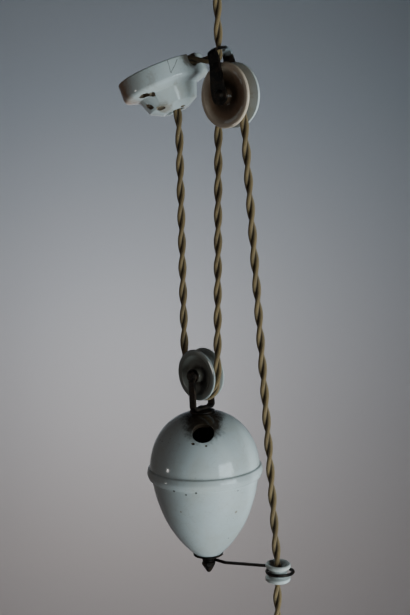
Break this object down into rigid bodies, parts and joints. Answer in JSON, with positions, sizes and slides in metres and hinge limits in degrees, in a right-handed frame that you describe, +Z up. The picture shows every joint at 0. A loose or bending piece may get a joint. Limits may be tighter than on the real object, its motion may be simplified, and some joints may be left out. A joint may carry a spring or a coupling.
{
  "type": "rise and fall pendant",
  "caption": "Ceiling-hung rise and fall pendant: a twisted cloth flex runs from a ceiling rose under the pulley of an egg-shaped counterweight and over a fixed pulley to a lampholder.",
  "frame": {"origin": "centre of the ceiling hook's screw where it leaves the ceiling", "axes": "+Z up along the hook's screw, +X in the plane of the flex and both wheels, from the ceiling rose towards the lamp, +Y along both axles"},
  "size_m": [0.1923, 0.1, 0.696],
  "materials": {
    "porcelain": "off-white glaze, crazed and stained brown with age",
    "iron": "dark, lightly rusted wrought iron with worn bright edges",
    "lead_shot": "dull grey, loose shot",
    "flex_braid": "golden brown silk braid over rubber, two strands twisted",
    "brass": "aged brass"
  },
  "bodies": {
    "ceiling": {"ceiling_hook": "iron"},
    "head": {"flex_loop": "flex_braid", "flex_knot": "flex_braid", "supply_flex": "flex_braid", "upper_fork": "iron", "upper_axle": "iron", "upper_washers": "iron", "rose_cover": "porcelain", "rose_base": "porcelain", "rose_terminals": "brass", "terminal_screws": "brass", "rose_knot": "flex_braid", "rose_leads": "flex_braid", "fall_left": "flex_braid", "fall_middle": "flex_braid", "flex_over_upper_wheel": "flex_braid", "fall_right": "flex_braid"},
    "upper_pulley": {"upper_wheel": "porcelain"},
    "counterweight": {"lower_fork": "iron", "lower_axle": "iron", "lower_washers": "iron", "counterweight_shell": "porcelain", "lead_shot": "lead_shot", "tie_rod": "iron", "dome_cap": "iron", "bottom_cup": "iron", "finial_nut": "iron", "guide_arm": "iron", "flex_under_lower_wheel": "flex_braid", "lamp_flex": "flex_braid"},
    "lower_pulley": {"lower_wheel": "porcelain"},
    "guide_spool": {"guide_spool": "porcelain"},
    "lamp": {"cord_grip": "brass", "holder_cap": "brass", "holder_insert": "porcelain", "holder_body": "brass", "lamp_screw_shell": "brass", "shade_flange": "brass", "shade_ring": "brass", "centre_contact": "brass", "holder_leads": "flex_braid"}
  },
  "joints": [
    {"name": "pendant_swing", "type": "hinge", "parent": "ceiling", "child": "head", "pos_m": [0, 0, -0.04196], "axis": [1, 0, 0], "range_deg": [-15, 15]},
    {"name": "counterweight_rise", "type": "slide", "parent": "head", "child": "counterweight", "axis": [0, 0, 1], "range_m": [-0.015, 0.15], "deforming": ["fall_left", "fall_middle", "fall_right"]},
    {"name": "upper_pulley_spin", "type": "hinge", "parent": "head", "child": "upper_pulley", "pos_m": [0.015, 0, -0.156], "axis": [0, 1, 0], "continuous": true},
    {"name": "lower_pulley_spin", "type": "hinge", "parent": "counterweight", "child": "lower_pulley", "pos_m": [-0.0182, 0, -0.39], "axis": [0, 1, 0], "continuous": true},
    {"name": "guide_spool_spin", "type": "hinge", "parent": "counterweight", "child": "guide_spool", "pos_m": [0.0715, 0, -0.5415], "axis": [0, 0, 1], "continuous": true},
    {"name": "lamp_drop", "type": "slide", "parent": "counterweight", "child": "lamp", "axis": [0, 0, 1], "range_m": [-0.45, 0.045], "deforming": ["lamp_flex"]}
  ],
  "couplings": [
    {"joint": "upper_pulley_spin", "follows": "counterweight_rise", "rad_per_m": 153.85},
    {"joint": "lower_pulley_spin", "follows": "counterweight_rise", "rad_per_m": -51.02},
    {"joint": "lamp_drop", "follows": "counterweight_rise", "ratio": -3}
  ]
}
